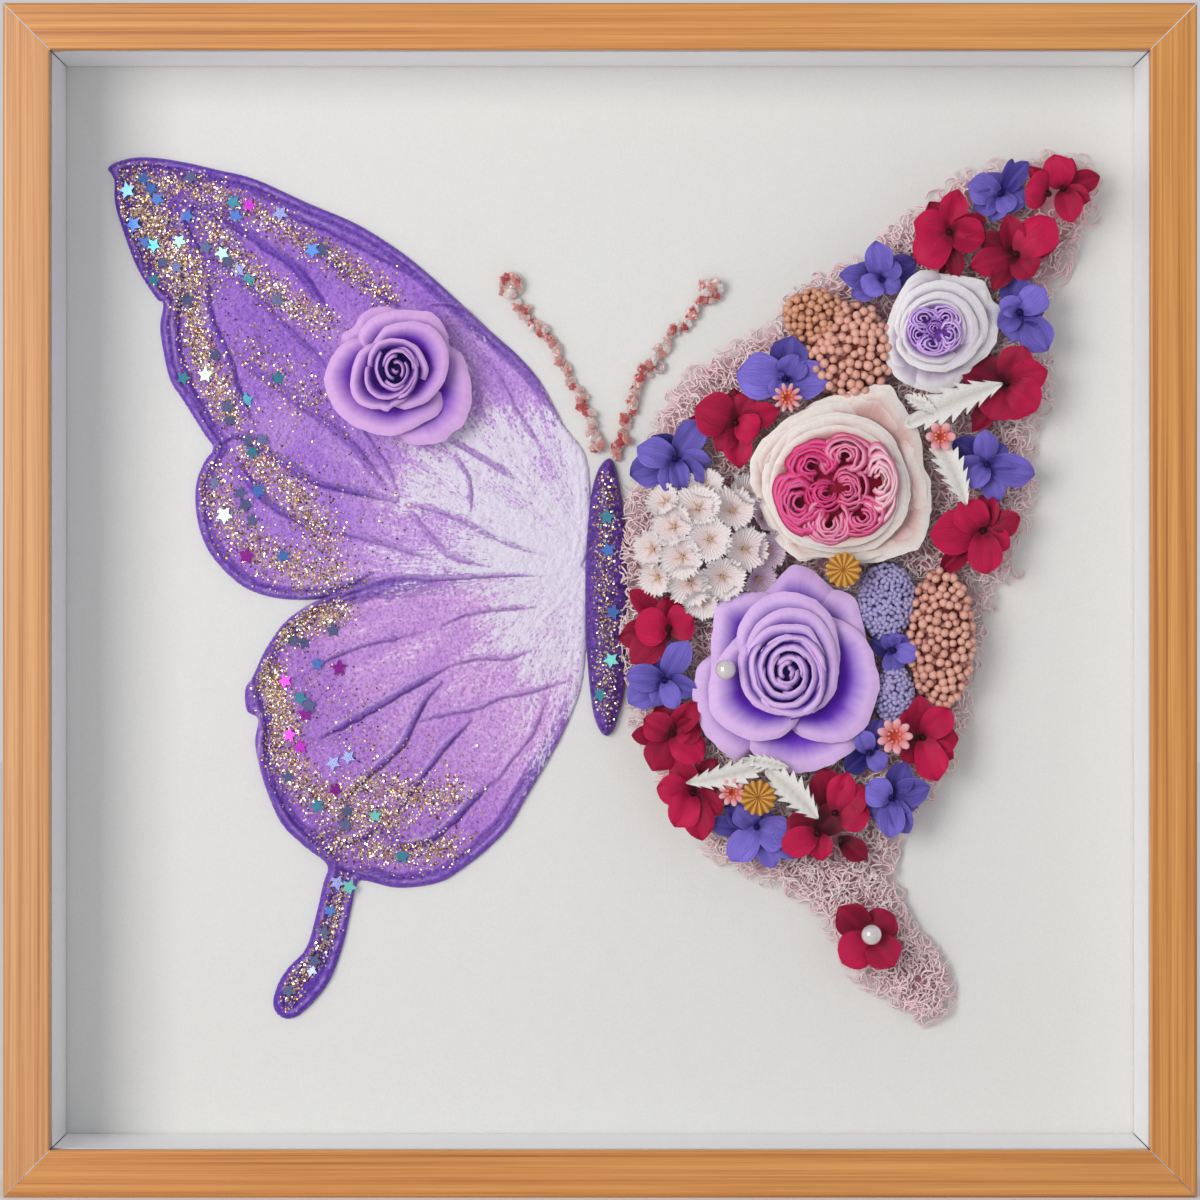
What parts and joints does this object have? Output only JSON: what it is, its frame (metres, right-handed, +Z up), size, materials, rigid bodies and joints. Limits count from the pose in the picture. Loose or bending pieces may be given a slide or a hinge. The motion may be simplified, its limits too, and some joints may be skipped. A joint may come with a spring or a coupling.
{
  "type": "pressed flower frame",
  "caption": "Square glazed shadow-box frame holding a butterfly, half thick purple paint with glitter and half preserved flowers on moss; stands on its edge or hangs.",
  "frame": {"origin": "on the floor under the middle of the upright frame: the bottom centre of its bounding box", "axes": "+Z up along the frame's height, -Y out of its glazed front towards the viewer, +X to the viewer's right"},
  "size_m": [0.35, 0.046, 0.35],
  "materials": {
    "oak": "satin",
    "spacer": "matte",
    "pane": "gloss",
    "board": "matte",
    "panel": "matte",
    "steel": "satin",
    "purple_paint": "satin",
    "dark_paint": "satin",
    "lilac_petal": "matte",
    "pink_petal": "matte",
    "white_petal": "matte",
    "crystal": "gloss",
    "moss": "matte",
    "scabiosa": "matte",
    "rice": "matte",
    "cone": "matte",
    "poppy": "matte",
    "coral": "matte",
    "leaf": "matte",
    "crimson": "matte",
    "blue": "matte",
    "pearl": "gloss"
  },
  "bodies": {
    "root": {"frame_rail_top": "oak", "frame_rail_right": "oak", "frame_rail_bottom": "oak", "frame_rail_left": "oak", "spacer_top": "spacer", "spacer_right": "spacer", "spacer_bottom": "spacer", "spacer_left": "spacer", "glass_pane": "pane", "backing_board": "board", "back_panel": "panel", "panel_tab_left": "steel", "panel_tab_right": "steel", "sawtooth_hanger": "steel", "painted_forewing": "purple_paint", "painted_hindwing": "purple_paint", "painted_body": "dark_paint", "painted_wing_rose": "lilac_petal", "antenna_left": "crystal", "antenna_right": "crystal", "moss_forewing": "moss", "moss_hindwing": "moss", "lilac_rose": "lilac_petal", "garden_rose": "pink_petal", "white_rose": "white_petal", "scabiosa_pod": "scabiosa", "poppy_head_middle": "poppy", "poppy_head_lower": "poppy", "rice_flower_upper": "rice", "rice_flower_right": "rice", "seed_cone_upper": "cone", "seed_cone_lower": "cone", "waxflower_upper_left": "coral", "waxflower_upper_right": "coral", "waxflower_lower_right": "coral", "waxflower_lower_left": "coral", "leaf_spray_upper": "leaf", "leaf_spray_lower": "leaf", "pearl_rose": "pearl", "pearl_tail": "pearl", "crimson_hydrangea_wing_tip": "crimson", "crimson_hydrangea_right_upper": "crimson", "crimson_hydrangea_left_upper": "crimson", "crimson_hydrangea_right_middle": "crimson", "crimson_hydrangea_left_middle": "crimson", "crimson_hydrangea_left_lower": "crimson", "crimson_hydrangea_right_lower": "crimson", "crimson_hydrangea_bottom": "crimson", "crimson_hydrangea_tail": "crimson", "blue_hydrangea_wing_tip": "blue", "blue_hydrangea_upper": "blue", "blue_hydrangea_right_upper": "blue", "blue_hydrangea_veined": "blue", "blue_hydrangea_left_upper": "blue", "blue_hydrangea_right_middle": "blue", "blue_hydrangea_small": "blue", "blue_hydrangea_left_middle": "blue", "blue_hydrangea_right_lower": "blue", "blue_hydrangea_bottom": "blue"}
  },
  "joints": []
}
